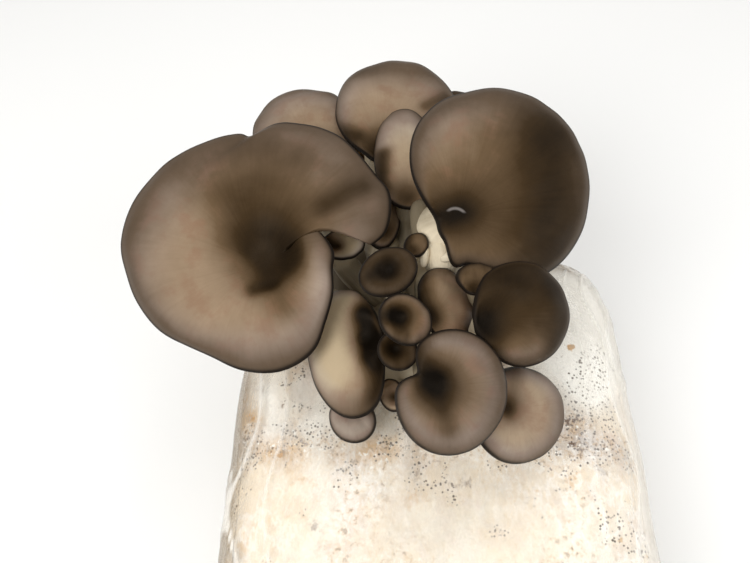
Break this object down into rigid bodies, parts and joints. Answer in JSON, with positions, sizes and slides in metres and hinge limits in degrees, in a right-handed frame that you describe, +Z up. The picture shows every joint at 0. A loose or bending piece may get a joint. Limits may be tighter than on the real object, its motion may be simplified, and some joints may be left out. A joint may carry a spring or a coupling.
{
  "type": "oyster mushroom grow bag",
  "caption": "Film bag of white substrate lying on its back, with a cluster of grey-brown oyster mushrooms growing up through a cut in its upper face.",
  "frame": {"origin": "middle of the bag's flat underside, on the surface that it lies on", "axes": "+Z up out of the bag's upper face; +Y along the bag, away from its sealed end; +X across the bag to the right"},
  "size_m": [0.2599, 0.3603, 0.2118],
  "materials": {
    "film": "clear thin film, creased",
    "substrate": "sawdust bound by white mycelium, matte, with brown stains and dark specks",
    "flesh": "cream-white fibrous flesh, matte",
    "cap_skin": "grey-brown skin, dark at the hub and tan further out, soft satin"
  },
  "bodies": {
    "root": {"bag": "film", "cap_back_bud": "cap_skin", "cap_back_left": "cap_skin", "cap_back_middle": "cap_skin", "cap_back_right": "cap_skin", "cap_behind_left": "cap_skin", "cap_behind_right": "cap_skin", "cap_bud_by_stem": "cap_skin", "cap_bud_low": "cap_skin", "cap_button_low": "cap_skin", "cap_button_middle": "cap_skin", "cap_button_top": "cap_skin", "cap_curl": "cap_skin", "cap_dark_right": "cap_skin", "cap_front": "cap_skin", "cap_front_right": "cap_skin", "cap_large_left": "cap_skin", "cap_large_right": "cap_skin", "cap_pale_low": "cap_skin", "cap_spoon": "cap_skin", "cap_tongue": "cap_skin", "cap_trough": "cap_skin", "cluster_base": "flesh", "stem_back_bud": "flesh", "stem_back_left": "flesh", "stem_back_middle": "flesh", "stem_back_right": "flesh", "stem_behind_left": "flesh", "stem_behind_right": "flesh", "stem_bud_by_stem": "flesh", "stem_bud_low": "flesh", "stem_button_low": "flesh", "stem_button_middle": "flesh", "stem_button_top": "flesh", "stem_curl": "flesh", "stem_dark_right": "flesh", "stem_front": "flesh", "stem_front_right": "flesh", "stem_large_left": "flesh", "stem_large_right": "flesh", "stem_pale_low": "flesh", "stem_spoon": "flesh", "stem_tongue": "flesh", "stem_trough": "flesh", "substrate_block": "substrate"}
  },
  "joints": []
}
